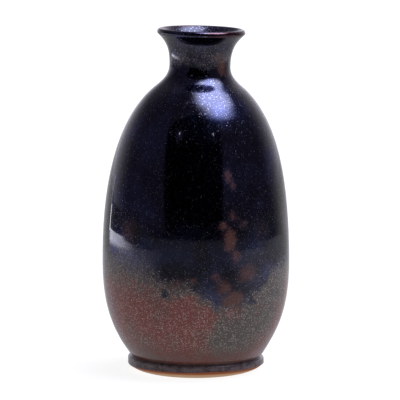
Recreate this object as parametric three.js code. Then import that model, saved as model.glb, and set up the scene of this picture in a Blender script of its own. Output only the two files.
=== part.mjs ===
// A thrown stoneware sake bottle (tokkuri), holding two go, about 360 ml.
//
// It is made of four pieces that share one axis:
//   clay_body    the thrown wall with its floor, shoulder, narrow neck and flared lip
//   foot_ring    the ring it stands on, luted under the floor, with a bare bevelled edge
//   outer_glaze  the coat of dark glaze, from the middle of the lip down to the foot's bevel
//   liner_glaze  the coat inside, from the middle of the lip down over the floor
//
// Millimetres, +Z up. The origin is on the axis, on the surface that the foot stands on.
// Every outline is a list of (radius, height) points, turned about the axis.

import * as THREE from 'three';

// Overall form, measured over the glaze. Drops are measured down from the top of the lip.
const HEIGHT = 150;
const BELLY_RADIUS = 40.9;
const BELLY_HEIGHT = 48.5;
const NECK_RADIUS = 13.3;
const NECK_DROP = 16;
const MOUTH_RADIUS = 19.2;
const LIP_FLARE = THREE.MathUtils.degToRad(48);

// The bend where the shoulder turns into the neck.
const BEND_RADIUS = 20.9;
const BEND_DROP = 26.8;
const BEND_SLOPE = THREE.MathUtils.degToRad(46);

// The foot: a ring with a wide bevel below and a groove above it.
const FOOT_RADIUS = 29.8;
const FOOT_CLAY_HEIGHT = 5.85;
const FOOT_EDGE_RADIUS = 1.1;
const STANDING_RADIUS = 22.5;
const STANDING_WIDTH = 4.5;
const BEVEL_HEIGHT = 2.9;
const BEVEL_FULLNESS = 0.68;
const RECESS_DRAFT = 1.5;
const GROOVE_DEPTH = 1.6;
const LOWER_WALL_SLOPE = THREE.MathUtils.degToRad(36);

// Thicknesses.
const GLAZE = 0.5;
const LIP_CLAY = 1.8;
const BELLY_CLAY = 4;
const FLOOR_CLAY = 5.5;
const FLOOR_DISH = 0.8;
const FLOOR_CORNER = 9;

// Each coat and each luted joint stands off its neighbour by this hairline.
const BOND = 0.05;

// The neck leans a little to +X, and the lip dips to that side, as the wet clay settled.
const LEAN = 2.4;
const LIP_DIP = THREE.MathUtils.degToRad(1.4);
const LEAN_START = 65;

// Fineness of the facets: round the axis, up each curve of the wall, and round a corner.
const TURN_STEPS = 40;
const LOWER_STEPS = 5;
const SHOULDER_STEPS = 8;
const BEND_STEPS = 4;
const NECK_STEPS = 4;
const ROUND_STEPS = 4;

// The first of the wall's places that stands clear of the floor's round corner.
const FLOOR_STATION = 2;

const LIP_ROUND = LIP_CLAY / 2 + GLAZE;
const GROOVE_RADIUS = FOOT_RADIUS - GROOVE_DEPTH;
const GROOVE_HEIGHT = FOOT_CLAY_HEIGHT + BOND + GLAZE;
const FLOOR_TOP = FOOT_CLAY_HEIGHT + BOND + FLOOR_CLAY;

// Angles round the lip: where the wall's outside meets it square, its crest, and the inside.
// The two coats stop short of each other at the crest by the seam.
const OUTER_ANGLE = -LIP_FLARE;
const CREST_ANGLE = Math.PI / 2;
const INNER_ANGLE = Math.PI - LIP_FLARE;
const SEAM_ANGLE = BOND / LIP_ROUND;

const at = (radius, height) => new THREE.Vector2(radius, height);

// A step of a given length from a point, at a slope measured from straight up towards +radius.
const step = (from, length, slope) =>
  at(from.x + length * Math.sin(slope), from.y + length * Math.cos(slope));

// A point on the rounded lip, at a distance and an angle from the middle of the round.
const lipPoint = (distance, angle) =>
  at(
    MOUTH_RADIUS - LIP_ROUND + distance * Math.cos(angle),
    HEIGHT - LIP_ROUND + distance * Math.sin(angle),
  );

// The outside of the glaze from the groove to the lip, as four flowing curves. Each one leaves
// its lower end and arrives at its upper end along the slope there, and the lengths of its two
// handles, leave and arrive, are shares of the height that it climbs.
function outsideCurves() {
  const groove = { place: at(GROOVE_RADIUS, GROOVE_HEIGHT), slope: LOWER_WALL_SLOPE };
  const belly = { place: at(BELLY_RADIUS, BELLY_HEIGHT), slope: 0 };
  const bend = { place: at(BEND_RADIUS, HEIGHT - BEND_DROP), slope: -BEND_SLOPE };
  const neck = { place: at(NECK_RADIUS, HEIGHT - NECK_DROP), slope: 0 };
  const lip = { place: lipPoint(LIP_ROUND, OUTER_ANGLE), slope: LIP_FLARE };
  const flows = [
    { from: groove, leave: 0.37, to: belly, arrive: 0.45, steps: LOWER_STEPS },
    { from: belly, leave: 0.57, to: bend, arrive: 0.21, steps: SHOULDER_STEPS },
    { from: bend, leave: 0.35, to: neck, arrive: 0.5, steps: BEND_STEPS },
    { from: neck, leave: 0.5, to: lip, arrive: 0.38, steps: NECK_STEPS },
  ];
  return flows.map(({ from, leave, to, arrive, steps }) => {
    const climb = to.place.y - from.place.y;
    const curve = new THREE.CubicBezierCurve(
      from.place,
      step(from.place, leave * climb, from.slope),
      step(to.place, -arrive * climb, to.slope),
      to.place,
    );
    return { curve, steps };
  });
}

// Places up the outside of the wall, each with the direction that faces out of it.
const stations = outsideCurves().flatMap(({ curve, steps }, order) =>
  Array.from({ length: steps + 1 }, (_, i) => {
    const along = curve.getTangent(i / steps);
    return { place: curve.getPoint(i / steps), out: at(along.y, -along.x) };
  }).slice(order > 0 ? 1 : 0),
);

// Where the wall's face at a depth runs down to a height in the groove.
function wallFoot(depth, height) {
  const down = GROOVE_HEIGHT + depth * Math.sin(LOWER_WALL_SLOPE) - height;
  const back = depth * Math.cos(LOWER_WALL_SLOPE) + down * Math.tan(LOWER_WALL_SLOPE);
  return at(GROOVE_RADIUS - back, height);
}

// The clay thins steadily from the belly's thickness at the foot to the lip's.
const clayAt = (height) =>
  THREE.MathUtils.mapLinear(height, GROOVE_HEIGHT, HEIGHT, BELLY_CLAY, LIP_CLAY);

// One surface of the wall, as points at a depth under the outside of the glaze.
const layer = (depth) =>
  stations.map((s) => s.place.clone().addScaledVector(s.out, -depth(s.place.y)));

// Points round the lip, from one angle to another.
const lipRound = (distance, from, to) =>
  Array.from({ length: ROUND_STEPS + 1 }, (_, i) =>
    lipPoint(distance, THREE.MathUtils.lerp(from, to, i / ROUND_STEPS)),
  );

// The inside surface at a height of floor and a depth of wall, from the axis up to the lip.
// The floor is a little dished, and a round corner takes it into the wall's own line.
function insideOf(floor, depth) {
  const wall = layer(depth).slice(FLOOR_STATION);
  const [edge, above] = wall;
  const rim = floor + FLOOR_DISH;
  const corner = at(THREE.MathUtils.mapLinear(rim, edge.y, above.y, edge.x, above.x), rim);
  const round = new THREE.QuadraticBezierCurve(at(corner.x - FLOOR_CORNER, rim), corner, edge);
  return [at(0, floor), ...round.getPoints(ROUND_STEPS), ...wall.slice(1)];
}

function clayBodyOutline() {
  const underside = FOOT_CLAY_HEIGHT + BOND;
  const inside = insideOf(FLOOR_TOP, (height) => GLAZE + clayAt(height));
  return [
    at(0, underside),
    wallFoot(GLAZE + BOND, underside),
    ...layer(() => GLAZE + BOND).slice(1),
    ...lipRound(LIP_CLAY / 2 - BOND, OUTER_ANGLE, INNER_ANGLE).slice(1, -1),
    ...inside.reverse(),
  ];
}

// The foot's rounded upper edge, at a depth under the outside of the glaze.
function footEdge(depth) {
  const side = FOOT_RADIUS - depth;
  const top = GROOVE_HEIGHT - depth;
  const round = FOOT_EDGE_RADIUS - depth;
  const edge = new THREE.QuadraticBezierCurve(
    at(side, top - round),
    at(side, top),
    at(side - round, top),
  );
  return edge.getPoints(ROUND_STEPS);
}

function footRingOutline() {
  const side = FOOT_RADIUS - GLAZE - BOND;
  const standing = at(STANDING_RADIUS, 0);
  const bevel = new THREE.QuadraticBezierCurve(
    standing,
    at(
      THREE.MathUtils.lerp(STANDING_RADIUS, side, BEVEL_FULLNESS),
      (1 - BEVEL_FULLNESS) * BEVEL_HEIGHT,
    ),
    at(side, BEVEL_HEIGHT),
  );
  const inner = STANDING_RADIUS - STANDING_WIDTH;
  return [
    at(inner, 0),
    ...bevel.getPoints(ROUND_STEPS),
    ...footEdge(GLAZE + BOND),
    at(inner - RECESS_DRAFT, FOOT_CLAY_HEIGHT),
    at(inner, 0),
  ];
}

// The coat's face at a depth: up the foot's side, round its edge, into the groove, up the
// wall and over to the crest of the lip.
const coatFace = (depth) => [
  at(FOOT_RADIUS - depth, BEVEL_HEIGHT + BOND),
  ...footEdge(depth),
  wallFoot(depth, GROOVE_HEIGHT - depth),
  ...layer(() => depth).slice(1),
  ...lipRound(LIP_ROUND - depth, OUTER_ANGLE, CREST_ANGLE - SEAM_ANGLE).slice(1),
];

function outerGlazeOutline() {
  const outside = coatFace(0);
  return [...outside, ...coatFace(GLAZE).reverse(), outside[0].clone()];
}

function linerGlazeOutline() {
  const crest = (radius) => lipRound(radius, INNER_ANGLE, CREST_ANGLE + SEAM_ANGLE).slice(1);
  const against = insideOf(FLOOR_TOP + BOND, (height) => GLAZE + clayAt(height) + BOND);
  const inside = insideOf(FLOOR_TOP + BOND + GLAZE, (height) => 2 * GLAZE + clayAt(height) + BOND);
  return [
    ...against,
    ...crest(LIP_CLAY / 2),
    ...crest(LIP_ROUND).reverse(),
    ...inside.reverse(),
  ];
}

// Shifts and tips each level above the belly, more and more towards the lip.
const LEAN_CURVE = 1.5;
function settle(geometry) {
  const places = geometry.attributes.position;
  for (let i = 0; i < places.count; i += 1) {
    const x = places.getX(i);
    const z = places.getZ(i);
    const climb = Math.max(0, (z - LEAN_START) / (HEIGHT - LEAN_START));
    places.setX(i, x + LEAN * climb ** LEAN_CURVE);
    places.setZ(i, z - x * Math.tan(LIP_DIP * climb));
  }
  return geometry;
}

// Turns an outline about the upright axis, and lets the neck settle.
function turned(outline) {
  const geometry = new THREE.LatheGeometry(outline, TURN_STEPS);
  geometry.rotateX(Math.PI / 2);
  settle(geometry);
  geometry.computeVertexNormals();
  return geometry;
}

function piece(name, outline, look) {
  const mesh = new THREE.Mesh(turned(outline), new THREE.MeshStandardMaterial(look));
  mesh.name = name;
  return mesh;
}

const bottle = new THREE.Group();
bottle.add(
  piece('clay_body', clayBodyOutline(), { color: 0xb98a62, roughness: 0.9, metalness: 0 }),
  piece('foot_ring', footRingOutline(), { color: 0xb5825a, roughness: 0.9, metalness: 0 }),
  piece('outer_glaze', outerGlazeOutline(), { color: 0x17151f, roughness: 0.15, metalness: 0 }),
  piece('liner_glaze', linerGlazeOutline(), { color: 0x241c20, roughness: 0.2, metalness: 0 }),
);

export default bottle;
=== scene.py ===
import math

import bpy
import numpy as np
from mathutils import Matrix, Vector, noise


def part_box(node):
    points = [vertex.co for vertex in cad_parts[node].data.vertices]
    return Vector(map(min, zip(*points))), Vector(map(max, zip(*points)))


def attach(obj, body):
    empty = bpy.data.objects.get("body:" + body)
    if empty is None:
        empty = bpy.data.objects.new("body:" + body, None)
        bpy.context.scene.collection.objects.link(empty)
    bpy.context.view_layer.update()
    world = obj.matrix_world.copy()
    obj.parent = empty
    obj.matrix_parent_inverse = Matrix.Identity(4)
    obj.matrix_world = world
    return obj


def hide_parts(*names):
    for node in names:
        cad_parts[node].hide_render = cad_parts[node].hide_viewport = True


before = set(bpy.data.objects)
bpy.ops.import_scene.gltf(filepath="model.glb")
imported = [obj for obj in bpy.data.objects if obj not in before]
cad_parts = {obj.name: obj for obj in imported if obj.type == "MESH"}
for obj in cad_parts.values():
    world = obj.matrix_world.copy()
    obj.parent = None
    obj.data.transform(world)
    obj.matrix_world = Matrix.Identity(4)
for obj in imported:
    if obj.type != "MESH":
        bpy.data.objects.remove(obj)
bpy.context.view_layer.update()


# ---- The thrown wall -------------------------------------------------------------------------
# The body of the bottle: one wall of stoneware thrown on the wheel, with its floor, shoulder,
# narrow neck and flared lip. Both of its sides are glazed, so only the underside of the floor
# is bare, where it was turned flat with a loop tool inside the foot.

# Sizes are in millimetres, and become metres where a mesh is made.
MM = 0.001
STEPS_AROUND = 256

coat_low, coat_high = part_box("outer_glaze")
_, ring_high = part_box("foot_ring")

# The thickness of both coats, and the hair's breadth left between neighbouring pieces.
GLAZE = 0.5
BOND = 0.05
# How far the top leans to the right and the lip dips, from a height up.
LEAN = 2.4
LIP_DIP = math.radians(1.4)
LEAN_START = 65.0
LEAN_CURVE = 1.5

MOUTH_RADIUS = 19.2
LIP_CLAY = 1.8
# Half the angle, in radians, that parts the two coats at the crest of the lip.
CREST_GAP = 0.004
LIP_ROUND = LIP_CLAY / 2 + GLAZE
LIP_FLARE = math.radians(48)
HEIGHT = coat_high.z / MM - (MOUTH_RADIUS - LIP_ROUND) * math.tan(LIP_DIP)
BELLY_RADIUS = coat_high.x / MM
BELLY_HEIGHT = 48.5
BELLY_CLAY = 4.0
NECK_RADIUS = 13.3
NECK_DROP = 16.0
NECK_HEIGHT = HEIGHT - NECK_DROP
BEND_RADIUS = 20.9
BEND_DROP = 26.8
BEND_HEIGHT = HEIGHT - BEND_DROP
BEND_SLOPE = math.radians(-46)
FOOT_RADIUS = ring_high.x / MM + GLAZE + BOND
FOOT_TOP = ring_high.z / MM
GROOVE_DEPTH = 1.6
GROOVE_RADIUS = FOOT_RADIUS - GROOVE_DEPTH
GROOVE_HEIGHT = FOOT_TOP + BOND + GLAZE
WALL_SLOPE = math.radians(36)
FLOOR_CLAY = 5.5
FLOOR_UNDER = FOOT_TOP + BOND
FLOOR_TOP = FLOOR_UNDER + FLOOR_CLAY
# The rounded corner inside, where the floor meets the wall.
CORNER_TOP = 8.0
CORNER_RISE = 0.8
CORNER_REACH = 9.0
CORNER_SLOPE = math.radians(31)


def bezier(start, pull_out, pull_in, end, steps):
    """Points of one flowing curve, as rows of (radius, height), without its last point."""
    t = np.linspace(0, 1, steps, endpoint=False)[:, None]
    a, b, c, d = (np.array(p, float) for p in (start, pull_out, pull_in, end))
    return (1 - t) ** 3 * a + 3 * (1 - t) ** 2 * t * b + 3 * (1 - t) * t * t * c + t ** 3 * d


def quadratic(start, middle, end, steps):
    """Points of a simple round between two lines, without its last point."""
    t = np.linspace(0, 1, steps, endpoint=False)[:, None]
    a, b, c = (np.array(p, float) for p in (start, middle, end))
    return (1 - t) ** 2 * a + 2 * (1 - t) * t * b + t * t * c


def lip_point(distance, angle):
    """A point on the rounded lip, at a distance and an angle from the middle of the round."""
    middle = (MOUTH_RADIUS - LIP_ROUND, HEIGHT - LIP_ROUND)
    return (middle[0] + distance * math.cos(angle), middle[1] + distance * math.sin(angle))


def wall_line(fineness):
    """The outside of the glazed wall from the groove to the lip, with its outward directions."""
    # Each station: its place, the wall's slope there, how far the curve is pulled on leaving it and
    # on arriving at the next (in parts of the climb), and the steps up to the next.
    stations = [
        ((GROOVE_RADIUS, GROOVE_HEIGHT), WALL_SLOPE, 0.37, 0.45, 40),
        ((BELLY_RADIUS, BELLY_HEIGHT), 0.0, 0.57, 0.21, 60),
        ((BEND_RADIUS, BEND_HEIGHT), BEND_SLOPE, 0.35, 0.5, 26),
        ((NECK_RADIUS, NECK_HEIGHT), 0.0, 0.5, 0.38, 24),
        (lip_point(LIP_ROUND, -LIP_FLARE), LIP_FLARE, 0.0, 0.0, 0),
    ]
    rows = []
    for low, high in zip(stations[:-1], stations[1:]):
        (start, slope, leave, arrive, steps), (end, end_slope) = low, high[:2]
        climb = end[1] - start[1]
        go, come = leave * climb, arrive * climb
        out = (start[0] + go * math.sin(slope), start[1] + go * math.cos(slope))
        back = (end[0] - come * math.sin(end_slope), end[1] - come * math.cos(end_slope))
        rows.append(bezier(start, out, back, end, max(2, round(steps * fineness))))
    rows.append([stations[-1][0]])
    line = np.vstack(rows)
    along = np.gradient(line, axis=0)
    along /= np.linalg.norm(along, axis=1, keepdims=True)
    return line, np.column_stack([along[:, 1], -along[:, 0]])


def wall_layer(depth, fineness=1.0):
    """One surface of the wall, at a depth under the outside of the glaze."""
    line, out = wall_line(fineness)
    deep = np.array([depth(height) for height in line[:, 1]])
    return line - out * deep[:, None]


def clay_at(height):
    """The wall's own thickness: it was thrown thinner towards the lip."""
    share = (height - GROOVE_HEIGHT) / (HEIGHT - GROOVE_HEIGHT)
    return BELLY_CLAY + (LIP_CLAY - BELLY_CLAY) * share


def inside_line(floor, extra, fineness=1.0):
    """The inside from the middle of the floor up to the lip, with a rounded corner at the floor."""
    wall = wall_layer(lambda height: extra + clay_at(height), fineness)
    wall = wall[wall[:, 1] > floor + CORNER_TOP]
    corner_height = floor + CORNER_RISE
    reach = (wall[0, 1] - corner_height) * math.tan(CORNER_SLOPE)
    corner = (wall[0, 0] - reach, corner_height)
    start = (corner[0] - CORNER_REACH, corner_height)
    flat = [
        (radius, floor + CORNER_RISE * (radius / start[0]) ** 2)
        for radius in np.linspace(0, start[0], 8)[:-1]
    ]
    return np.vstack([flat, quadratic(start, corner, wall[0], 12), wall])


def lip_arc(distance, start, end, steps):
    """Points round the lip between two angles, both ends included."""
    return [lip_point(distance, start + (end - start) * i / steps) for i in range(steps + 1)]


def settled(places):
    """The soft clay leaned a little to one side above the belly, and the lip dipped with it."""
    climb = np.clip((places[:, 2] - LEAN_START) / (HEIGHT - LEAN_START), 0, None)
    tipped = places[:, 2] - places[:, 0] * np.tan(LIP_DIP * climb)
    return np.column_stack([places[:, 0] + LEAN * climb ** LEAN_CURVE, places[:, 1], tipped])


SHARP = math.radians(40)


def turned(name, outline, shape, ring=False):
    """A smooth body turned about the axis from (radius, height) points. shape moves its points: it
    takes each point's angle, radius and height and gives new radii and heights. The result is the
    object and its points as (angle in degrees, radius, height)."""
    outline = np.array(outline, float)
    on_axis = outline[:, 0] < 1e-6
    angle = np.radians(np.arange(STEPS_AROUND) * 360 / STEPS_AROUND - 180)
    places, first = [], []
    for (radius, height), single in zip(outline, on_axis):
        first.append(sum(len(p) for p in places))
        turns = angle[:1] if single else angle
        level = np.full((len(turns), 2), (radius, height))
        places.append(np.column_stack([turns, level]))
    polar = np.vstack(places)
    angle = polar[:, 0]
    radius, height = shape(*polar.T)
    points = np.column_stack([radius * np.sin(angle), -radius * np.cos(angle), height])
    faces = []
    count = len(outline)
    for i in range(count if ring else count - 1):
        a, b = first[i], first[(i + 1) % count]
        lone_a, lone_b = on_axis[i], on_axis[(i + 1) % count]
        for j in range(STEPS_AROUND):
            k = (j + 1) % STEPS_AROUND
            if lone_a:
                faces.append((a, b + k, b + j))
            elif lone_b:
                faces.append((a + j, a + k, b))
            else:
                faces.append((a + j, a + k, b + k, b + j))
    mesh = bpy.data.meshes.new(name)
    mesh.from_pydata((settled(points) * MM).tolist(), [], faces)
    mesh.polygons.foreach_set("use_smooth", [True] * len(mesh.polygons))
    mesh.set_sharp_from_angle(angle=SHARP)
    mesh.update()
    body = bpy.data.objects.new(name, mesh)
    bpy.context.scene.collection.objects.link(body)
    return body, np.column_stack([np.degrees(angle), radius, height])


def add_node(tree, kind, **settings):
    """A node of a tree. A setting named socket_N sets input N, any other sets a property."""
    made = tree.nodes.new(kind)
    for key, value in settings.items():
        if key.startswith("socket_"):
            made.inputs[int(key[7:])].default_value = value
        else:
            setattr(made, key, value)
    return made


def join(tree, source, target):
    """Links an output to an input."""
    tree.links.new(source, target)


def new_material(name):
    """An empty material with its Principled shader, and the shader and tree to work on."""
    made = bpy.data.materials.new(name)
    made.use_nodes = True
    return made, made.node_tree, made.node_tree.nodes["Principled BSDF"]


def bumped(tree, shader, height, strength, distance):
    """Raises the surface's shading by a height, over a distance in metres."""
    bump = add_node(tree, "ShaderNodeBump")
    bump.inputs["Strength"].default_value = strength
    bump.inputs["Distance"].default_value = distance
    join(tree, height, bump.inputs["Height"])
    join(tree, bump.outputs["Normal"], shader.inputs["Normal"])


def new_group(name, takes, gives):
    """An empty node group. takes and gives are lists of (socket name, socket type, default)."""
    group = bpy.data.node_groups.new(name, "ShaderNodeTree")
    for direction, sockets in (("INPUT", takes), ("OUTPUT", gives)):
        for label, kind, default in sockets:
            socket = group.interface.new_socket(name=label, in_out=direction, socket_type=kind)
            if default is not None:
                socket.default_value = default
    return group, group.nodes.new("NodeGroupInput"), group.nodes.new("NodeGroupOutput")


def place_group(tree, group, **values):
    """A node group placed in a material, with its own values by socket name."""
    made = tree.nodes.new("ShaderNodeGroup")
    made.node_tree = group
    for key, value in values.items():
        made.inputs[key].default_value = value
    return made


# Fired clay: fine grog, iron freckles and the rings that the turning tool left.
clay_look, takes, gives = new_group(
    "Turned clay",
    [
        ("Vector", "NodeSocketVector", None),
        ("Clay", "NodeSocketColor", (0.45, 0.24, 0.11, 1)),
        ("Dark clay", "NodeSocketColor", (0.2, 0.09, 0.04, 1)),
        ("Freckles", "NodeSocketFloat", 0.5),
    ],
    [
        ("Color", "NodeSocketColor", None),
        ("Height", "NodeSocketFloat", None),
    ],
)
cloud = add_node(clay_look, "ShaderNodeTexNoise")
cloud.inputs["Scale"].default_value = 160
cloud.inputs["Detail"].default_value = 5
join(clay_look, takes.outputs["Vector"], cloud.inputs["Vector"])
cloud_range = add_node(clay_look, "ShaderNodeMapRange", socket_1=0.3, socket_2=0.75, socket_4=0.55)
join(clay_look, cloud.outputs["Fac"], cloud_range.inputs[0])
clay_mix = add_node(clay_look, "ShaderNodeMix", data_type="RGBA")
join(clay_look, cloud_range.outputs[0], clay_mix.inputs[0])
join(clay_look, takes.outputs["Clay"], clay_mix.inputs[6])
join(clay_look, takes.outputs["Dark clay"], clay_mix.inputs[7])
grog = add_node(clay_look, "ShaderNodeTexVoronoi")
grog.inputs["Scale"].default_value = 900
join(clay_look, takes.outputs["Vector"], grog.inputs["Vector"])
iron = add_node(clay_look, "ShaderNodeMapRange", socket_1=0.2, socket_2=0.32)
iron.inputs[3].default_value = 1.0
iron.inputs[4].default_value = 0.0
join(clay_look, grog.outputs["Distance"], iron.inputs[0])
iron_share = add_node(clay_look, "ShaderNodeMath", operation="MULTIPLY")
join(clay_look, iron.outputs[0], iron_share.inputs[0])
join(clay_look, takes.outputs["Freckles"], iron_share.inputs[1])
freckled = add_node(clay_look, "ShaderNodeMix", data_type="RGBA")
join(clay_look, iron_share.outputs[0], freckled.inputs[0])
join(clay_look, clay_mix.outputs[2], freckled.inputs[6])
join(clay_look, takes.outputs["Dark clay"], freckled.inputs[7])
join(clay_look, freckled.outputs[2], gives.inputs["Color"])
apart = add_node(clay_look, "ShaderNodeSeparateXYZ")
join(clay_look, takes.outputs["Vector"], apart.inputs[0])
flat_place = add_node(clay_look, "ShaderNodeCombineXYZ")
join(clay_look, apart.outputs[0], flat_place.inputs[0])
join(clay_look, apart.outputs[1], flat_place.inputs[1])
from_axis = add_node(clay_look, "ShaderNodeVectorMath", operation="LENGTH")
join(clay_look, flat_place.outputs[0], from_axis.inputs[0])
tool_ring = add_node(clay_look, "ShaderNodeTexNoise", noise_dimensions="1D")
tool_ring.inputs["Scale"].default_value = 1500
tool_ring.inputs["Detail"].default_value = 2
join(clay_look, from_axis.outputs["Value"], tool_ring.inputs["W"])
grit = add_node(clay_look, "ShaderNodeTexNoise")
grit.inputs["Scale"].default_value = 2600
grit.inputs["Detail"].default_value = 3
join(clay_look, takes.outputs["Vector"], grit.inputs["Vector"])
clay_height = add_node(clay_look, "ShaderNodeMath", operation="ADD")
join(clay_look, tool_ring.outputs["Fac"], clay_height.inputs[0])
join(clay_look, grit.outputs["Fac"], clay_height.inputs[1])
join(clay_look, clay_height.outputs[0], gives.inputs["Height"])

BROWN_CLAY = (0.4, 0.22, 0.11, 1)
DARK_BROWN_CLAY = (0.19, 0.09, 0.045, 1)

floor_clay, tree, shader = new_material("Turned stoneware floor")
where = add_node(tree, "ShaderNodeTexCoord")
look = place_group(tree, clay_look, Freckles=0.6)
look.inputs["Clay"].default_value = BROWN_CLAY
look.inputs["Dark clay"].default_value = DARK_BROWN_CLAY
join(tree, where.outputs["Object"], look.inputs["Vector"])
join(tree, look.outputs["Color"], shader.inputs["Base Color"])
bumped(tree, shader, look.outputs["Height"], 0.6, 0.00012)
shader.inputs["Roughness"].default_value = 0.88
shader.inputs["Specular IOR Level"].default_value = 0.3


SPIRAL_PITCH = 2.3
SPIRAL_DEPTH = 0.06
FLOOR_EDGE = 1.3


def tool_marks(angle, radius, height):
    """Shallow spiral left by the loop tool on the underside of the floor."""
    under = height < FLOOR_UNDER + 0.01
    spiral = SPIRAL_DEPTH * np.sin(radius * 2 * math.pi / SPIRAL_PITCH + angle)
    return radius, height + np.where(under & (radius > 0.5), np.abs(spiral), 0.0)


under_edge = wall_layer(lambda height: GLAZE + BOND)
under_edge = under_edge[under_edge[:, 1] > FLOOR_UNDER + 0.3]
wall_outline = np.vstack([
    [(radius, FLOOR_UNDER) for radius in np.linspace(0, GROOVE_RADIUS - FLOOR_EDGE, 60)],
    under_edge,
    lip_arc(LIP_CLAY / 2 - BOND, -LIP_FLARE, math.pi - LIP_FLARE, 8)[1:-1],
    inside_line(FLOOR_TOP, GLAZE, 0.5)[::-1],
])
thrown_wall, _ = turned("thrown_wall", wall_outline, tool_marks)
thrown_wall.data.materials.append(floor_clay)
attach(thrown_wall, "root")
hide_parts("clay_body")


# ---- The foot ring ---------------------------------------------------------------------------
# The ring that the bottle stands on, luted under the floor and then turned: a wide bevel below,
# a soft upper edge, and a flat standing face. Its clay is bare from the bevel inwards and has
# flashed orange where the glaze ends.

STANDING_RADIUS = 22.5
STANDING_INNER = 18.0
BEVEL_TOP = coat_low.z / MM - BOND
BEVEL_FULLNESS = 0.68
FOOT_EDGE_ROUND = 1.1
foot_side = FOOT_RADIUS - GLAZE - BOND
knee_radius = STANDING_RADIUS + (foot_side - STANDING_RADIUS) * BEVEL_FULLNESS
bevel_knee = (knee_radius, BEVEL_TOP * (1 - BEVEL_FULLNESS))
edge_round = FOOT_EDGE_ROUND - GLAZE - BOND

# The corners of the ring's section: the standing face, up the outside, over the top, down inside.
inner_face_edge = (STANDING_INNER + 0.35, 0)
outer_face_edge = (STANDING_RADIUS - 0.2, 0)
bevel_start = (STANDING_RADIUS + 0.5, 0.12)
bevel_end = (foot_side, BEVEL_TOP)
side_end = (foot_side, FOOT_TOP - edge_round)
top_start = (foot_side - edge_round, FOOT_TOP)
recess_top = (STANDING_INNER - 1.45, FOOT_TOP - 0.4)
recess_low = (STANDING_INNER - 0.25, 0.4)
foot_outline = np.vstack([
    quadratic(inner_face_edge, (STANDING_INNER + 2, 0), outer_face_edge, 8),
    quadratic(outer_face_edge, (STANDING_RADIUS + 0.1, 0), bevel_start, 5),
    quadratic(bevel_start, bevel_knee, bevel_end, 26),
    quadratic(bevel_end, (foot_side, 4), side_end, 4),
    quadratic(side_end, (foot_side, FOOT_TOP), top_start, 5),
    [top_start, (STANDING_INNER - 1.3, FOOT_TOP)],
    quadratic(recess_top, (STANDING_INNER - 0.9, 3), recess_low, 10),
    quadratic(recess_low, (STANDING_INNER, 0), inner_face_edge, 5),
])


BEVEL_RING_PITCH = 0.55
BEVEL_RING_DEPTH = 0.025
CHATTER_DEPTH = 0.03


def bevel_marks(angle, radius, height):
    """The turning tool chattered a little down the bevel and left fine rings."""
    on_bevel = (height > 0.05) & (height < BEVEL_TOP - 0.05) & (radius > STANDING_RADIUS)
    rings = BEVEL_RING_DEPTH * np.sin(radius * 2 * math.pi / BEVEL_RING_PITCH)
    rings = rings + CHATTER_DEPTH * np.sin(3 * angle + radius)
    return radius - np.where(on_bevel, np.abs(rings), 0), height


trimmed_foot, _ = turned("trimmed_foot", foot_outline, bevel_marks, ring=True)

BUFF_CLAY = (0.9, 0.58, 0.34, 1)
DARK_BUFF_CLAY = (0.7, 0.38, 0.19, 1)
# The clay turns orange between two heights (in metres), just under the edge of the glaze.
FLASH_FROM = 0.0018
FLASH_TO = 0.0028
FLASHED_ORANGE = (0.5, 0.13, 0.025, 1)

foot_clay, tree, shader = new_material("Bare foot clay")
where = add_node(tree, "ShaderNodeTexCoord")
look = place_group(tree, clay_look, Freckles=0.35)
look.inputs["Clay"].default_value = BUFF_CLAY
look.inputs["Dark clay"].default_value = DARK_BUFF_CLAY
join(tree, where.outputs["Object"], look.inputs["Vector"])
split = add_node(tree, "ShaderNodeSeparateXYZ")
join(tree, where.outputs["Object"], split.inputs[0])
flash = add_node(tree, "ShaderNodeMapRange", socket_1=FLASH_FROM, socket_2=FLASH_TO)
flash.interpolation_type = "SMOOTHSTEP"
join(tree, split.outputs[2], flash.inputs[0])
flashed = add_node(tree, "ShaderNodeMix", data_type="RGBA")
flashed.inputs[7].default_value = FLASHED_ORANGE
join(tree, flash.outputs[0], flashed.inputs[0])
join(tree, look.outputs["Color"], flashed.inputs[6])
join(tree, flashed.outputs[2], shader.inputs["Base Color"])
bumped(tree, shader, look.outputs["Height"], 0.5, 0.0001)
shader.inputs["Roughness"].default_value = 0.8
shader.inputs["Specular IOR Level"].default_value = 0.35
trimmed_foot.data.materials.append(foot_clay)
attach(trimmed_foot, "root")
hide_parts("foot_ring")


# ---- The outer glaze -------------------------------------------------------------------------
# An iron glaze full of tiny silvery crystals, dipped over the bottle and wiped off the bevel.
# Where it lies thick it is blue-black; low down and in a few drips it ran thin and broke to
# red-brown, rust and grey-green. It gathers in the groove and in a soft roll at its lower end.

coat_side = FOOT_RADIUS
coat_bottom = coat_low.z / MM
# The roll at the lower end, as steps out from the coat's side and up from its bottom.
ROLL = [(-0.22, -0.02), (-0.02, 0.14), (0.07, 0.42), (0.05, 0.8), (0, 1.3)]
roll = [(foot_side + 0.04, coat_bottom)]
roll += [(coat_side + out, coat_bottom + up) for out, up in ROLL]
wall, _ = wall_line(1.0)
wall = wall[wall[:, 1] > GROOVE_HEIGHT + 0.9]
edge_low = (coat_side, GROOVE_HEIGHT - 1.15)
edge_in = (coat_side - 1.05, GROOVE_HEIGHT)
pool_out = (coat_side - 1.35, GROOVE_HEIGHT)
pool_deep = (GROOVE_RADIUS - 0.1, GROOVE_HEIGHT - 0.02)
outer_face = np.vstack([
    roll,
    quadratic(edge_low, (coat_side, GROOVE_HEIGHT), edge_in, 12),
    quadratic(pool_out, pool_deep, wall[0], 9),
    wall[:-1],
    lip_arc(LIP_ROUND, -LIP_FLARE, math.pi / 2 - CREST_GAP, 16),
])
under_wall = wall_layer(lambda height: GLAZE, 0.35)
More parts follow.
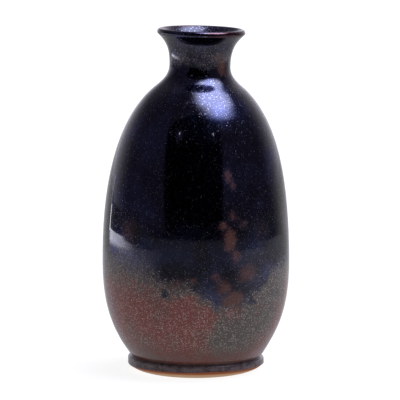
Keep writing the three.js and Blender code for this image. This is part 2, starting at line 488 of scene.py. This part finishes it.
against_foot = [
    (foot_side + 0.03, coat_bottom + 0.02),
    (foot_side + 0.03, FOOT_TOP - 0.5),
    (foot_side - 0.5, FOOT_TOP + 0.04),
]
inner_face = np.vstack([
    against_foot,
    under_wall[under_wall[:, 1] > GROOVE_HEIGHT + 0.2],
    lip_arc(LIP_ROUND - GLAZE, -LIP_FLARE, math.pi / 2 - CREST_GAP, 5)[1:],
])


GROOVE_TILT = 0.38
THROWN_RING_PITCH = 5.6
THROWN_RING_DEPTH = 0.012
OUT_OF_ROUND = 0.02


def glaze_end(angle):
    """How far the lower edge of the glaze wanders up the foot."""
    return 0.2 + 0.09 * np.sin(3 * angle + 1) + 0.07 * np.sin(7 * angle) + 0.14 * np.sin(angle - 0.2)


def hand_made(angle, radius, height):
    """The faint rings of throwing, a wandering glaze line and a groove cut a little out of level."""
    rings = THROWN_RING_DEPTH * np.sin(height * 2 * math.pi / THROWN_RING_PITCH + angle)
    rings = rings + OUT_OF_ROUND * np.sin(2 * angle + height / 19)
    rings = np.where(height > GROOVE_HEIGHT + 2, rings, 0)
    near_groove = np.exp(-((height - GROOVE_HEIGHT) / 4.5) ** 2)
    near_groove *= np.clip((height - coat_bottom) / 2, 0, 1)
    tilt = -GROOVE_TILT * np.sin(angle) * near_groove
    line = glaze_end(angle) * np.clip(1 - (height - coat_bottom) / 1.2, 0, 1)
    return radius + rings, height + tilt + line


coat_outline = np.vstack([outer_face, inner_face[::-1]])
glaze_coat, coat_points = turned("glaze_coat", coat_outline, hand_made, ring=True)

# Where the glaze is thick, thin or grey-green, laid out round the bottle. Angles are in degrees
# from the front, positive to the right, and heights in millimetres above the table. The first two
# lists are (angle, height of the zone's edge) and (angle, half the height over which it fades). The
# others are spots: (angle, height, half width, half height, strength).
THICK_DOWN_TO = [
    (-180, 44), (-130, 44), (-95, 47), (-68, 48.5), (-45, 48), (-30, 45), (-16, 42),
    (-4, 39.5), (6, 38), (13, 32), (22, 33), (30, 33), (40, 37), (52, 45),
    (75, 48), (110, 40), (145, 47), (180, 44),
]
EDGE_SOFTNESS = [
    (-180, 9), (-120, 12), (-75, 18), (-40, 17), (-24, 13), (-8, 7), (10, 5),
    (30, 6), (45, 8), (60, 12), (120, 9), (180, 8),
]
RUST_BREAKS = [
    (21, 90, 2.6, 4.4, 0.85), (25, 85, 2.2, 3.2, 0.75), (25, 73, 2.4, 3.2, 0.75),
    (30, 69, 2.4, 2.4, 0.6), (16, 67, 2.4, 3.0, 0.9), (20, 62, 3.6, 5.0, 1.1),
    (25, 56, 3.0, 3.6, 0.95), (32, 48, 6.0, 3.6, 0.75), (12, 46, 2.8, 2.6, 0.8),
    (17, 42, 3.6, 3.4, 1.0), (23, 37, 4.0, 4.0, 1.2), (27, 32, 3.0, 2.4, 0.9),
    (-2, 44, 2.2, 2.0, 1.0), (-12, 43, 3.0, 2.0, 0.6), (72, 68, 6.0, 7.0, 0.5),
    (45, 66, 5.0, 5.0, 0.35), (-46, 66, 6.0, 6.0, 0.45), (38, 138, 2.6, 3.2, 0.6),
    (47, 134, 3.0, 4.0, 0.95), (54, 131.5, 2.4, 2.2, 0.7), (36, 139, 3.0, 2.6, 0.5),
    (96, 74, 3.4, 8.0, 0.8), (108, 60, 4.0, 5.0, 0.9), (128, 92, 2.4, 6.0, 0.7),
    (152, 58, 4.5, 6.0, 0.9), (-170, 70, 3.0, 7.0, 0.8), (-148, 55, 5.0, 4.5, 0.9),
    (-120, 82, 2.2, 5.0, 0.7), (-104, 62, 3.5, 5.0, 0.7), (-160, 132, 3.0, 4.0, 0.7),
]
THICK_SPOTS = [
    (-18, 39.5, 2.4, 2.2, 1.0), (-3, 40.5, 2.6, 2.4, 0.9), (5, 42, 2.6, 3.6, 0.9),
    (36, 35, 3.2, 2.4, 0.9), (33, 40, 2.2, 2.6, 0.8), (60, 38, 7.0, 6.0, 0.5),
    (140, 36, 4.0, 3.0, 0.8), (-140, 36, 3.0, 3.0, 0.8),
]
GREY_GREEN = [
    (29, 61, 6.5, 7.0, 0.42), (25, 46, 8.0, 5.0, 0.45), (16, 22, 5.0, 10.0, 1.0),
    (25, 20, 8.0, 10.0, 1.0), (36, 22, 9.0, 11.0, 1.0), (34, 31, 9.0, 5.0, 0.9),
    (50, 26, 9.0, 10.0, 0.9), (50, 38, 9.0, 9.0, 1.0), (62, 42, 10.0, 14.0, 0.9),
    (48, 58, 6.0, 5.0, 0.3), (160, 24, 14.0, 12.0, 0.9), (-165, 16, 8.0, 8.0, 0.7),
    (-34, 10.0, 17.0, 3.4, 0.4), (-60, 13, 8.0, 4.0, 0.35), (100, 30, 8.0, 8.0, 0.7),
]
MAUVE = [
    (74, 16, 8.0, 9.0, 0.9), (62, 10, 8.0, 4.0, 1.1), (-76, 30, 11.0, 15.0, 1.0),
    (120, 16, 9.0, 9.0, 0.6),
]


def wander(points, size, seed):
    """Soft noise over the surface, from -1 to 1, with blotches of about that size in millimetres."""
    angle, radius, height = np.radians(points[:, 0]), points[:, 1], points[:, 2]
    spots = np.column_stack([radius * np.sin(angle), -radius * np.cos(angle), height]) / size
    return np.array([noise.noise(Vector(spot) + Vector((seed, 7 * seed, 3))) for spot in spots])


def patches(points, spots):
    """How far each point lies inside the nearest of the spots, from 0 to their strengths."""
    deep = np.zeros(len(points))
    for angle, height, wide, tall, strength in spots:
        aside = np.radians((points[:, 0] - angle + 180) % 360 - 180) * points[:, 1]
        far = (aside / wide) ** 2 + ((points[:, 2] - height) / tall) ** 2
        deep = np.maximum(deep, strength * np.exp(-far ** 1.3))
    return deep


def smooth_step(values, low, high):
    """0 below low, 1 above high, and a smooth rise between."""
    t = np.clip((values - low) / (high - low), 0, 1)
    return t * t * (3 - 2 * t)


drift = coat_points.copy()
drift[:, 0] += 3.2 * wander(coat_points, 7, 1) + 1.5 * wander(coat_points, 2.6, 2)
drift[:, 2] += 2.4 * wander(coat_points, 7, 3) + 1.2 * wander(coat_points, 2.6, 4)
reach = np.interp(drift[:, 0], *zip(*THICK_DOWN_TO))
blur = np.interp(drift[:, 0], *zip(*EDGE_SOFTNESS))
thick = smooth_step((drift[:, 2] - reach) / blur, -1, 1)
thick = np.maximum(thick, patches(drift, THICK_SPOTS))
# The glaze is thinned in a band round the neck's waist: a painted reflection of the pale table.
NECK_REFLECTION_BAND = NECK_HEIGHT + 3.4
thick *= 1 - 0.42 * np.exp(-((drift[:, 2] - NECK_REFLECTION_BAND) / 3.6) ** 2)
zone_values = [thick, patches(drift, RUST_BREAKS), patches(drift, GREY_GREEN), patches(drift, MAUVE)]
zone_values = np.column_stack(zone_values).astype(np.float32)
zones = glaze_coat.data.attributes.new("glaze_zones", "FLOAT_COLOR", "POINT")
zones.data.foreach_set("color", zone_values.ravel())
ends = glaze_coat.data.attributes.new("above_line", "FLOAT", "POINT")
above_end = coat_points[:, 2] - coat_bottom - glaze_end(np.radians(coat_points[:, 0]))
ends.data.foreach_set("value", above_end)

# The crystals: small flat flakes, each in a cell of its own, some cells without one.
crystals, takes, gives = new_group(
    "Silver crystals",
    [
        ("Vector", "NodeSocketVector", None),
        ("Spacing", "NodeSocketFloat", 900.0),
        ("Share", "NodeSocketFloat", 0.5),
        ("Size", "NodeSocketFloat", 0.3),
    ],
    [
        ("Mask", "NodeSocketFloat", None),
        ("Tone", "NodeSocketFloat", None),
    ],
)
cells = add_node(crystals, "ShaderNodeTexVoronoi")
join(crystals, takes.outputs["Vector"], cells.inputs["Vector"])
join(crystals, takes.outputs["Spacing"], cells.inputs["Scale"])
cell_tone = add_node(crystals, "ShaderNodeSeparateColor")
join(crystals, cells.outputs["Color"], cell_tone.inputs[0])
kept = add_node(crystals, "ShaderNodeMath", operation="LESS_THAN")
join(crystals, cell_tone.outputs[0], kept.inputs[0])
join(crystals, takes.outputs["Share"], kept.inputs[1])
rim = add_node(crystals, "ShaderNodeMath", operation="MULTIPLY", socket_1=0.6)
join(crystals, takes.outputs["Size"], rim.inputs[0])
flake = add_node(crystals, "ShaderNodeMapRange", socket_3=1.0, socket_4=0.0)
join(crystals, cells.outputs["Distance"], flake.inputs[0])
join(crystals, rim.outputs[0], flake.inputs[1])
join(crystals, takes.outputs["Size"], flake.inputs[2])
shown = add_node(crystals, "ShaderNodeMath", operation="MULTIPLY")
join(crystals, flake.outputs[0], shown.inputs[0])
join(crystals, kept.outputs[0], shown.inputs[1])
join(crystals, shown.outputs[0], gives.inputs["Mask"])
join(crystals, cell_tone.outputs[1], gives.inputs["Tone"])


def mixed(tree, share, low, high):
    """The colour between two, by a share. low and high are colours or sockets."""
    made = add_node(tree, "ShaderNodeMix", data_type="RGBA")
    join(tree, share, made.inputs[0])
    for socket, value in ((made.inputs[6], low), (made.inputs[7], high)):
        if isinstance(value, tuple):
            socket.default_value = (*value, 1)
        else:
            join(tree, value, socket)
    return made.outputs[2]


def worked(tree, operation, *values, clamp=False):
    """The result of a Math node, from sockets and numbers."""
    made = add_node(tree, "ShaderNodeMath", operation=operation, use_clamp=clamp)
    for socket, value in zip(made.inputs, values):
        if isinstance(value, (int, float)):
            socket.default_value = value
        else:
            join(tree, value, socket)
    return made.outputs[0]


def ranged(tree, value, low, high, to_low=0.0, to_high=1.0):
    """A smooth rise of a value between two limits."""
    made = add_node(tree, "ShaderNodeMapRange", interpolation_type="SMOOTHSTEP")
    made.inputs[1].default_value = low
    made.inputs[2].default_value = high
    made.inputs[3].default_value = to_low
    made.inputs[4].default_value = to_high
    join(tree, value, made.inputs[0])
    return made.outputs[0]


def noisy(tree, place, scale, detail=3.0, roughness=0.5):
    """A soft noise over the surface, by its scale in cells to the metre."""
    made = add_node(tree, "ShaderNodeTexNoise")
    made.inputs["Scale"].default_value = scale
    made.inputs["Detail"].default_value = detail
    made.inputs["Roughness"].default_value = roughness
    join(tree, place, made.inputs["Vector"])
    return made.outputs["Fac"]


BLUE_BLACK = (0.012, 0.0105, 0.03)
DEEP_BLUE = (0.034, 0.042, 0.125)
RED_BROWN = (0.275, 0.067, 0.06)
LOW_RED_BROWN = (0.2, 0.054, 0.04)
UMBER = (0.17, 0.085, 0.065)
GREY_OLIVE = (0.135, 0.108, 0.1)
NECK_SLATE = (0.105, 0.092, 0.125)
STONE_GREEN = (0.125, 0.107, 0.095)
MAUVE_GREY = (0.3, 0.15, 0.17)
RUST = (0.155, 0.062, 0.044)
ORANGE_LINE = (0.42, 0.085, 0.018)
LIP_RED = (0.085, 0.013, 0.022)
FOOT_SLATE = (0.14, 0.1, 0.105)
FOOT_SHADE = (0.055, 0.034, 0.042)
FOOT_END = (0.075, 0.035, 0.04)
WARM_CRYSTAL = (0.92, 0.76, 0.68)
COOL_CRYSTAL = (0.62, 0.62, 0.8)

# Heights and widths in the materials are in metres.
dark_glaze, tree, shader = new_material("Blue-black crystal glaze")
place = add_node(tree, "ShaderNodeTexCoord").outputs["Object"]
split = add_node(tree, "ShaderNodeSeparateXYZ")
join(tree, place, split.inputs[0])
across, height = split.outputs[0], split.outputs[2]
zone = add_node(tree, "ShaderNodeAttribute", attribute_name="glaze_zones")
parts = add_node(tree, "ShaderNodeSeparateColor")
join(tree, zone.outputs["Color"], parts.inputs[0])
mottle = noisy(tree, place, 430, 4, 0.65)
grain = noisy(tree, place, 1900, 2, 0.6)
swing = worked(tree, "MULTIPLY_ADD", mottle, 0.8, -0.4)
swing = worked(tree, "ADD", swing, worked(tree, "MULTIPLY_ADD", grain, 0.9, -0.45))
thickness = worked(tree, "ADD", parts.outputs[0], swing)
thick_here = ranged(tree, thickness, 0.35, 0.95)
olive_here = ranged(tree, thickness, 0.05, 0.5)
rust_here = worked(tree, "ADD", parts.outputs[1], swing)
rust_here = ranged(tree, rust_here, 0.08, 1.0, 0.0, 0.88)
green_here = worked(tree, "ADD", parts.outputs[2], swing)
green_here = ranged(tree, green_here, 0.05, 0.85)
mauve_here = worked(tree, "ADD", zone.outputs["Alpha"], swing)
mauve_here = ranged(tree, mauve_here, 0.25, 0.95, 0.0, 0.8)
low_down = ranged(tree, height, 0.008, 0.024, 1.0, 0.0)
thin_colour = mixed(tree, low_down, RED_BROWN, LOW_RED_BROWN)
clouds = noisy(tree, place, 75, 3, 0.6)
thin_colour = mixed(tree, ranged(tree, clouds, 0.4, 0.68, 0.0, 0.8), thin_colour, UMBER)
olive = mixed(tree, ranged(tree, height, 0.1, 0.12), GREY_OLIVE, NECK_SLATE)
thin_colour = mixed(tree, olive_here, thin_colour, olive)
thin_colour = mixed(tree, mauve_here, thin_colour, MAUVE_GREY)
thin_colour = mixed(tree, green_here, thin_colour, STONE_GREEN)
at_foot = ranged(tree, height, 0.0066, 0.0076, 1.0, 0.0)
foot_colour = mixed(tree, ranged(tree, mottle, 0.42, 0.64), FOOT_SLATE, FOOT_SHADE)
foot_colour = mixed(tree, ranged(tree, height, 0.0028, 0.0042, 1.0, 0.0), foot_colour, FOOT_END)
thin_colour = mixed(tree, at_foot, thin_colour, foot_colour)
blue_share = ranged(tree, noisy(tree, place, 70, 2), 0.4, 0.7)
thick_colour = mixed(tree, blue_share, BLUE_BLACK, DEEP_BLUE)
colour = mixed(tree, thick_here, thin_colour, thick_colour)
colour = mixed(tree, rust_here, colour, RUST)
at_lip = ranged(tree, height, 0.1465, 0.1486)
at_lip = worked(tree, "MULTIPLY", at_lip, ranged(tree, across, -0.004, 0.014))
colour = mixed(tree, at_lip, colour, LIP_RED)

# Three sizes of crystal: even fine ones, a few bold ones, and a dust that shows where it is thin.
fine = place_group(tree, crystals, Spacing=1480.0, Share=0.6, Size=0.34)
join(tree, place, fine.inputs["Vector"])
bold = place_group(tree, crystals, Spacing=760.0, Share=0.12, Size=0.18)
join(tree, place, bold.inputs["Vector"])
dust = place_group(tree, crystals, Spacing=1900.0, Share=0.62, Size=0.46)
join(tree, place, dust.inputs["Vector"])
fine_share = worked(tree, "MULTIPLY_ADD", fine.outputs["Tone"], 0.9, -0.05, clamp=True)
fine_share = worked(tree, "MULTIPLY", fine.outputs["Mask"], fine_share)
fine_strength = worked(tree, "MULTIPLY_ADD", thick_here, -0.12, 0.82)
fine_share = worked(tree, "MULTIPLY", fine_share, fine_strength)
bold_share = worked(tree, "MULTIPLY", bold.outputs["Mask"], 0.7)
silver = worked(tree, "MAXIMUM", fine_share, bold_share)
dust_strength = worked(tree, "MULTIPLY_ADD", thick_here, -0.65, 0.85)
dust_share = worked(tree, "MULTIPLY", dust.outputs["Mask"], dust_strength)
dust_share = worked(tree, "MULTIPLY", dust_share, dust.outputs["Tone"])
silver = worked(tree, "MAXIMUM", silver, dust_share)
clear_low = ranged(tree, height, 0.011, 0.017, 0.25, 1.0)
silver = worked(tree, "MULTIPLY", silver, clear_low)
off_rust = worked(tree, "MULTIPLY_ADD", rust_here, -0.6, 1.0)
silver = worked(tree, "MULTIPLY", silver, off_rust)
crystal_colour = mixed(tree, thick_here, WARM_CRYSTAL, COOL_CRYSTAL)
colour = mixed(tree, silver, colour, crystal_colour)
above = add_node(tree, "ShaderNodeAttribute", attribute_name="above_line").outputs["Fac"]
line_share = ranged(tree, above, 0.1, 0.6, 1.0, 0.0)
colour = mixed(tree, line_share, colour, ORANGE_LINE)
join(tree, colour, shader.inputs["Base Color"])

not_rust = worked(tree, "SUBTRACT", 1.0, rust_here)
metal = worked(tree, "MULTIPLY", thick_here, not_rust)
metal = worked(tree, "MAXIMUM", metal, worked(tree, "MULTIPLY", silver, 0.5))
not_line = worked(tree, "SUBTRACT", 1.0, line_share)
join(tree, worked(tree, "MULTIPLY", metal, not_line, clamp=True), shader.inputs["Metallic"])
satin = worked(tree, "MULTIPLY_ADD", thick_here, -0.25, 0.42)
join(tree, worked(tree, "MULTIPLY_ADD", silver, 0.22, satin), shader.inputs["Roughness"])
flake_height = worked(tree, "ADD", worked(tree, "MULTIPLY", silver, 0.6), grain)
bumped(tree, shader, flake_height, 0.2, 0.00006)
shader.inputs["Specular IOR Level"].default_value = 0.05
shader.inputs["Specular Tint"].default_value = (0.16, 0.16, 0.24, 1)
shader.inputs["Coat Weight"].default_value = 1.0
shader.inputs["Coat Roughness"].default_value = 0.03
shader.inputs["Coat IOR"].default_value = 1.5
glaze_coat.data.materials.append(dark_glaze)
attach(glaze_coat, "root")
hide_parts("outer_glaze")


# ---- The inner glaze -------------------------------------------------------------------------
# The same glaze poured through the neck, swilled round and tipped out. It covers the floor and
# the wall up to the middle of the lip, and follows the throwing rings that were left inside.

liner_floor = FLOOR_TOP + BOND
inner_coat_face = np.vstack([
    inside_line(liner_floor + GLAZE, 2 * GLAZE + BOND, 1.0)[:-1],
    lip_arc(LIP_ROUND, math.pi - LIP_FLARE, math.pi / 2 + CREST_GAP, 14),
])
against_clay = np.vstack([
    inside_line(liner_floor, GLAZE + BOND, 0.35)[:-1],
    lip_arc(LIP_CLAY / 2, math.pi - LIP_FLARE, math.pi / 2 + CREST_GAP, 5),
])


RING_PITCH = 6.5
RING_DEPTH = 0.16
RINGS_FROM = 24
RINGS_TO = 128


def throwing_rings(angle, radius, height):
    """Finger rings spiral up the inside and fade out in the neck and on the floor."""
    share = np.clip((height - RINGS_FROM) / 15, 0, 1) * np.clip((RINGS_TO - height) / 14, 0, 1)
    ring = RING_DEPTH * np.sin(height * 2 * math.pi / RING_PITCH + angle)
    return radius + ring * share, height


liner_outline = np.vstack([inner_coat_face, against_clay[::-1]])
liner_coat, _ = turned("liner_coat", liner_outline, throwing_rings)

LINER_DARK = (0.016, 0.013, 0.032)
LINER_BLOTCH = (0.035, 0.03, 0.06)
LINER_CRYSTAL = (0.5, 0.48, 0.6)

liner_glaze, tree, shader = new_material("Liner glaze")
place = add_node(tree, "ShaderNodeTexCoord").outputs["Object"]
split = add_node(tree, "ShaderNodeSeparateXYZ")
join(tree, place, split.inputs[0])
blotch = ranged(tree, noisy(tree, place, 240, 4, 0.6), 0.35, 0.7)
colour = mixed(tree, blotch, LINER_DARK, LINER_BLOTCH)
at_lip = ranged(tree, split.outputs[2], 0.1492, 0.1506)
colour = mixed(tree, at_lip, colour, LIP_RED)
fine = place_group(tree, crystals, Spacing=1250.0, Share=0.6, Size=0.34)
join(tree, place, fine.inputs["Vector"])
silver = worked(tree, "MULTIPLY", fine.outputs["Mask"], 0.7)
colour = mixed(tree, silver, colour, LINER_CRYSTAL)
join(tree, colour, shader.inputs["Base Color"])
metal = worked(tree, "MULTIPLY_ADD", silver, 0.2, 0.75, clamp=True)
join(tree, metal, shader.inputs["Metallic"])
bumped(tree, shader, silver, 0.25, 0.00008)
shader.inputs["Roughness"].default_value = 0.28
shader.inputs["Coat Weight"].default_value = 0.55
shader.inputs["Coat Roughness"].default_value = 0.03
liner_coat.data.materials.append(liner_glaze)
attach(liner_coat, "root")
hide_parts("liner_glaze")


# ---- The table -------------------------------------------------------------------------------
# A plain pale surface, wide enough to run out of sight. Seen straight it is nearly white. What the
# glaze mirrors of it is darker to the front and the sides, which are unlit, and pale behind, with
# one bright pool of lamplight behind on the left.

FLOOR_REACH = 6.0
SEEN_GLOW = (0.9, 0.9, 0.9)
SEEN_BASE = (0.22, 0.22, 0.22)
POOL_LIGHT = (3.4, 3.4, 3.9)
PALE = (1.0, 0.99, 1.04)
UNLIT = (0.0, 0.0, 0.0)

table_mesh = bpy.data.meshes.new("studio_floor")
corners = [(-1, -1), (1, -1), (1, 1), (-1, 1)]
places = [(x * FLOOR_REACH, y * FLOOR_REACH, 0.0) for x, y in corners]
table_mesh.from_pydata(places, [], [(0, 1, 2, 3)])
studio_floor = bpy.data.objects.new("studio_floor", table_mesh)
bpy.context.scene.collection.objects.link(studio_floor)


def swept(tree, angle, low, high, to_low=0.0, to_high=1.0):
    """A smooth rise of an angle between two limits in degrees."""
    return ranged(tree, angle, math.radians(low), math.radians(high), to_low, to_high)


def turn_from_front(tree, x, y):
    """The angle round the upright axis, from the front and positive to the right."""
    return worked(tree, "ARCTAN2", x, worked(tree, "MULTIPLY", y, -1.0))


pale_floor, tree, shader = new_material("Pale floor")
place = add_node(tree, "ShaderNodeTexCoord").outputs["Object"]
split = add_node(tree, "ShaderNodeSeparateXYZ")
join(tree, place, split.inputs[0])
away = add_node(tree, "ShaderNodeVectorMath", operation="LENGTH")
join(tree, place, away.inputs[0])
away = away.outputs["Value"]
turn = turn_from_front(tree, split.outputs[0], split.outputs[1])
front = swept(tree, worked(tree, "ABSOLUTE", turn), 35, 75, 1.0, 0.0)
not_front = worked(tree, "SUBTRACT", 1.0, front)
behind = swept(tree, turn, 100, 150)
behind = worked(tree, "MAXIMUM", behind, swept(tree, turn, -155, -108, 1.0, 0.0))
front_level = ranged(tree, away, 0.05, 0.3, 0.45, 0.13)
front_level = worked(tree, "MULTIPLY", front_level, ranged(tree, away, 1.1, 2.2, 1.0, 0.0))
front_level = worked(tree, "MULTIPLY", front, front_level)
side_level = ranged(tree, away, 0.6, 0.82, 0.45, 0.08)
side_level = worked(tree, "MULTIPLY", not_front, side_level)
level = worked(tree, "ADD", front_level, side_level)
level = worked(tree, "MAXIMUM", level, worked(tree, "MULTIPLY", behind, 0.55))
mirrored = mixed(tree, level, UNLIT, PALE)
pool = ranged(tree, away, 0.48, 0.64)
pool = worked(tree, "MULTIPLY", pool, ranged(tree, away, 0.76, 0.82, 1.0, 0.0))
pool_turn = swept(tree, turn, -134, -127)
pool_turn = worked(tree, "MULTIPLY", pool_turn, swept(tree, turn, -108, -74, 1.0, 0.0))
pool = worked(tree, "MULTIPLY", pool, pool_turn)
mirrored = mixed(tree, pool, mirrored, POOL_LIGHT)
seen = add_node(tree, "ShaderNodeLightPath").outputs["Is Camera Ray"]
join(tree, mixed(tree, seen, UNLIT, SEEN_BASE), shader.inputs["Base Color"])
join(tree, mixed(tree, seen, mirrored, SEEN_GLOW), shader.inputs["Emission Color"])
shader.inputs["Emission Strength"].default_value = 1.0
shader.inputs["Roughness"].default_value = 0.9
shader.inputs["Specular IOR Level"].default_value = 0.0
table_mesh.materials.append(pale_floor)


# ---- The studio ------------------------------------------------------------------------------
# White walls behind to the right and left, a dim front with a black board round the camera, and a
# soft round light overhead to the right. Narrow lamps give the strip at the left and two glints,
# and three broad fills light only what is matt. Beyond the floor the camera sees plain white.

WALL_WHITE = (0.86, 0.82, 0.93)
DIM_ROOM = (0.06, 0.055, 0.085)
BOARD_BLACK = (0.0, 0.0, 0.0)
SEEN_WHITE = (1.0, 1.0, 1.0)
LAMP_LIGHT = (6.0, 6.5, 8.6)
LAMP = Vector((0.33, -0.05, 0.943)).normalized()
LAMP_EDGE = math.cos(math.radians(29))
LAMP_CORE = math.cos(math.radians(2))

studio = bpy.data.worlds.new("Studio")
studio.use_nodes = True
bpy.context.scene.world = studio
tree = studio.node_tree
background = tree.nodes["Background"]
towards = add_node(tree, "ShaderNodeTexCoord").outputs["Generated"]
split = add_node(tree, "ShaderNodeSeparateXYZ")
join(tree, towards, split.inputs[0])
turn = turn_from_front(tree, split.outputs[0], split.outputs[1])
rise = worked(tree, "ARCSINE", split.outputs[2])
right_wall = swept(tree, turn, 102, 165)
right_wall = worked(tree, "MULTIPLY", right_wall, swept(tree, rise, 10, 60, 1.0, 0.12))
left_wall = swept(tree, turn, -158, -98, 1.0, 0.0)
left_wall = worked(tree, "MULTIPLY", left_wall, swept(tree, rise, -2, 30, 1.0, 0.12))
walls = worked(tree, "MAXIMUM", right_wall, left_wall)

# The board's sides lean a little and its top is rounded.
left_edge = worked(tree, "MULTIPLY_ADD", rise, -0.45, math.radians(-38))
right_edge = worked(tree, "MULTIPLY_ADD", rise, 0.2, math.radians(33.5))
off_middle = worked(tree, "ADD", turn, math.radians(5))
top_edge = worked(tree, "MULTIPLY", off_middle, off_middle)
top_edge = worked(tree, "MULTIPLY_ADD", top_edge, -0.4, math.radians(61))
past_left = worked(tree, "SUBTRACT", left_edge, turn)
past_right = worked(tree, "SUBTRACT", turn, right_edge)
past_top = worked(tree, "SUBTRACT", rise, top_edge)
past = worked(tree, "MAXIMUM", worked(tree, "MAXIMUM", past_left, past_right), past_top)
room = mixed(tree, swept(tree, past, -1.5, 1.5), BOARD_BLACK, DIM_ROOM)
room = mixed(tree, walls, room, WALL_WHITE)
lamp_side = add_node(tree, "ShaderNodeVectorMath", operation="DOT_PRODUCT")
lamp_side.inputs[1].default_value = LAMP
join(tree, towards, lamp_side.inputs[0])
lamp = ranged(tree, lamp_side.outputs["Value"], LAMP_EDGE, LAMP_CORE)
room = mixed(tree, lamp, room, LAMP_LIGHT)
seen = add_node(tree, "ShaderNodeLightPath").outputs["Is Camera Ray"]
join(tree, mixed(tree, seen, room, SEEN_WHITE), background.inputs["Color"])

# The lamps stand round the belly's middle, at this height in metres, and face it.
LAMPS_AROUND = 0.065


def around(angle, rise, distance):
    """A point round the belly, by its angle from the front, its angle above it and its distance."""
    a, e = math.radians(angle), math.radians(rise)
    flat = distance * math.cos(e)
    return (flat * math.sin(a), -flat * math.cos(a), LAMPS_AROUND + distance * math.sin(e))


def strip(name, middle, wide, tall, brightness, mirrored=True):
    """A flat lamp turned to the belly, which the camera doesn't see. brightness is its radiance."""
    data = bpy.data.lights.new(name, "AREA")
    data.shape = "RECTANGLE"
    data.size = wide
    data.size_y = tall
    data.energy = brightness * math.pi * wide * tall
    belly = Vector((0, 0, LAMPS_AROUND))
    lamp_object = bpy.data.objects.new(name, data)
    lamp_object.location = middle
    lamp_object.rotation_mode = "QUATERNION"
    lamp_object.rotation_quaternion = (belly - Vector(middle)).to_track_quat("-Z", "Y")
    lamp_object.visible_camera = False
    lamp_object.visible_glossy = mirrored
    bpy.context.scene.collection.objects.link(lamp_object)


strip("left_strip", around(-131.5, -3.6, 0.7), 0.026, 0.058, 3.4)
strip("left_strip_top", around(-134, 1.4, 0.7), 0.016, 0.066, 0.9)
strip("left_glint", around(-32, 41, 1.2), 0.025, 0.05, 7.0)
strip("right_glint", around(28, 40, 1.2), 0.025, 0.05, 7.0)
for number, (angle, brightness) in enumerate([(0, 1.7), (120, 1.2), (-120, 1.2)]):
    strip("fill_%d" % number, around(angle, 12, 1.5), 0.8, 0.6, brightness, mirrored=False)

bpy.context.scene.view_settings.view_transform = "Standard"


# ---- The camera ------------------------------------------------------------------------------
# A long lens in front of the bottle, a little above the mouth and looking slightly down at the
# middle of the body. Lengths are in metres.

LENS = 332.15
SENSOR = 36.0
CAMERA_PLACE = (0.0018, -1.6, 0.2809)
LOOKS_AT = (0.0018, 0.0, 0.07496)

camera_data = bpy.data.cameras.new("camera")
camera_data.sensor_width = SENSOR
camera_data.lens = LENS
camera = bpy.data.objects.new("camera", camera_data)
camera.location = CAMERA_PLACE
camera.rotation_mode = "QUATERNION"
camera.rotation_quaternion = (Vector(LOOKS_AT) - camera.location).to_track_quat("-Z", "Y")
bpy.context.scene.collection.objects.link(camera)
bpy.context.scene.camera = camera
